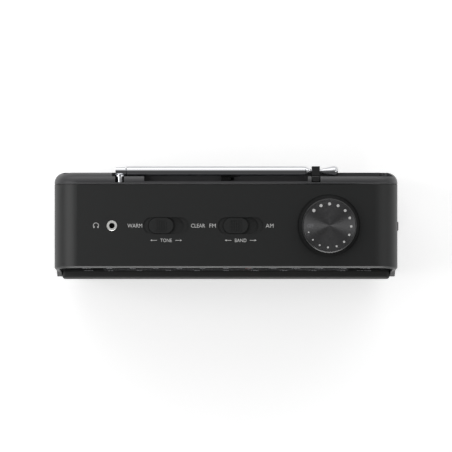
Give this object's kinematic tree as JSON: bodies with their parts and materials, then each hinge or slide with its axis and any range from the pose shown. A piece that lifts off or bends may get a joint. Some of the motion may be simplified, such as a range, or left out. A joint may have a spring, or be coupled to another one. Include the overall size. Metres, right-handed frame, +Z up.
{
  "type": "tabletop radio",
  "caption": "Tabletop radio with rounded ends, a front speaker grille under a needle dial, a round volume knob, slide switches, a side tuning wheel and a folding telescopic antenna.",
  "frame": {"origin": "under the middle of the cabinet, on the plane that the rubber feet stand on and straight below the row of controls", "axes": "+X towards the tuning wheel's side (the right as seen from the front), +Y towards the back cover and antenna, +Z up; the grille and dial face -Y"},
  "size_m": [0.225, 0.0733, 0.135],
  "materials": {
    "case": "moulded, fine texture",
    "cover": "moulded, fine texture",
    "lens": "polished",
    "scale": "printed",
    "pointer": "moulded",
    "grille": "powder coated",
    "baffle": "moulded",
    "chassis": "galvanised",
    "steel": "plain",
    "cord": "woven",
    "pulley": "moulded",
    "wheel": "moulded",
    "capacitor": "moulded",
    "ferrite": "fired",
    "copper": "enamelled wire",
    "knob": "moulded",
    "disc": "spun, dark anodised",
    "shaft": "turned",
    "pot": "plated",
    "brass": "turned",
    "jack": "moulded",
    "chrome": "polished",
    "slider": "moulded",
    "switch": "plated",
    "board": "laminate",
    "can": "drawn",
    "electrolytic": "sleeved",
    "basket": "pressed",
    "cone": "paper",
    "surround": "moulded",
    "core": "laminated",
    "winding": "taped coil",
    "inlet": "moulded",
    "cell": "sleeved",
    "feet": "moulded"
  },
  "bodies": {
    "cabinet": {"front_cabinet": "case", "back_cover": "cover", "rubber_feet": "feet", "speaker_grille": "grille", "dial_lens": "lens", "dial_scale": "scale", "pointer_rail": "steel", "speaker_baffle": "baffle", "chassis": "chassis", "dial_cord": "cord", "tuning_capacitor": "capacitor", "tuner_bracket": "chassis", "ferrite_rod": "ferrite", "aerial_coil": "copper", "volume_pot": "pot", "pot_nut": "steel", "headphone_jack": "jack", "jack_ring": "chrome", "tone_switch": "switch", "band_switch": "switch", "control_board": "board", "main_board": "board", "coil_cans": "can", "filter_capacitors": "electrolytic", "speaker_basket": "basket", "speaker_magnet": "ferrite", "speaker_yoke": "steel", "voice_coil": "copper", "speaker_cone": "cone", "speaker_surround": "surround", "transformer_core": "core", "transformer_winding": "winding", "mains_inlet": "inlet", "inlet_pins": "brass", "battery_box": "baffle", "battery_cells": "cell", "battery_contacts": "steel", "antenna_cradle": "slider", "case_screws": "steel", "inner_screws": "steel"},
    "antenna_swivel": {"antenna_base": "chrome"},
    "antenna_stage_1": {"antenna_tube_1": "chrome"},
    "antenna_stage_2": {"antenna_tube_2": "chrome"},
    "antenna_stage_3": {"antenna_tube_3": "chrome"},
    "antenna_stage_4": {"antenna_tip": "chrome", "neck_sleeve": "slider"},
    "volume_control": {"volume_knob": "knob", "knob_disc": "disc", "volume_shaft": "shaft"},
    "tone_control": {"tone_slider": "slider"},
    "band_control": {"band_slider": "slider"},
    "tuning_drive": {"tuning_wheel": "wheel", "tuning_shaft": "brass", "cord_drum": "pulley"},
    "capacitor_drive": {"varicon_gear": "brass"},
    "left_guide": {"left_pulley": "pulley"},
    "right_guide": {"right_pulley": "pulley"},
    "pointer": {"dial_pointer": "pointer"},
    "door": {"battery_door": "cover"},
    "latch": {"battery_latch": "slider"}
  },
  "joints": [
    {"name": "antenna_turn", "type": "hinge", "parent": "cabinet", "child": "antenna_swivel", "pos_m": [-0.0683, 0.0285, 0.1206], "axis": [0, -1, 0], "range_deg": [0, 105]},
    {"name": "antenna_fold", "type": "hinge", "parent": "antenna_swivel", "child": "antenna_stage_1", "pos_m": [-0.0683, 0.0351, 0.1206], "axis": [0, 0, 1], "range_deg": [0, 90]},
    {"name": "antenna_slide_1", "type": "slide", "parent": "antenna_stage_1", "child": "antenna_stage_2", "axis": [1, 0, 0], "range_m": [0, 0.095]},
    {"name": "antenna_slide_2", "type": "slide", "parent": "antenna_stage_2", "child": "antenna_stage_3", "axis": [1, 0, 0], "range_m": [0, 0.095]},
    {"name": "antenna_slide_3", "type": "slide", "parent": "antenna_stage_3", "child": "antenna_stage_4", "axis": [1, 0, 0], "range_m": [0, 0.095]},
    {"name": "volume_turn", "type": "hinge", "parent": "cabinet", "child": "volume_control", "pos_m": [0.066, 0, 0.13], "axis": [0, 0, -1], "range_deg": [0, 315]},
    {"name": "tone_slide", "type": "slide", "parent": "cabinet", "child": "tone_control", "axis": [1, 0, 0], "range_m": [0, 0.0065]},
    {"name": "band_slide", "type": "slide", "parent": "cabinet", "child": "band_control", "axis": [1, 0, 0], "range_m": [0, 0.0065]},
    {"name": "tuning_turn", "type": "hinge", "parent": "cabinet", "child": "tuning_drive", "pos_m": [0.095, 0, 0.076], "axis": [0, 1, 0], "range_deg": [-430, 288]},
    {"name": "capacitor_turn", "type": "hinge", "parent": "cabinet", "child": "capacitor_drive", "pos_m": [0.075, 0.0068, 0.076], "axis": [0, 1, 0], "range_deg": [-73, 108.5]},
    {"name": "left_pulley_turn", "type": "hinge", "parent": "cabinet", "child": "left_guide", "pos_m": [-0.094, -0.0165, 0.084], "axis": [0, 1, 0], "range_deg": [-1291, 865]},
    {"name": "right_pulley_turn", "type": "hinge", "parent": "cabinet", "child": "right_guide", "pos_m": [0.066, -0.0165, 0.076], "axis": [0, 1, 0], "range_deg": [-865, 1291]},
    {"name": "pointer_slide", "type": "slide", "parent": "cabinet", "child": "pointer", "axis": [1, 0, 0], "range_m": [-0.0902, 0.0606]},
    {"name": "door_turn", "type": "hinge", "parent": "cabinet", "child": "door", "pos_m": [0, 0.0326, 0.0464], "axis": [-1, 0, 0], "range_deg": [0, 90]},
    {"name": "latch_slide", "type": "slide", "parent": "cabinet", "child": "latch", "axis": [1, 0, 0], "range_m": [0, 0.0035]}
  ],
  "couplings": [
    {"joint": "pointer_slide", "follows": "tuning_turn", "m_per_rad": 0.012},
    {"joint": "capacitor_turn", "follows": "tuning_turn", "ratio": -0.25},
    {"joint": "left_pulley_turn", "follows": "tuning_turn", "ratio": 3},
    {"joint": "right_pulley_turn", "follows": "tuning_turn", "ratio": -3}
  ]
}
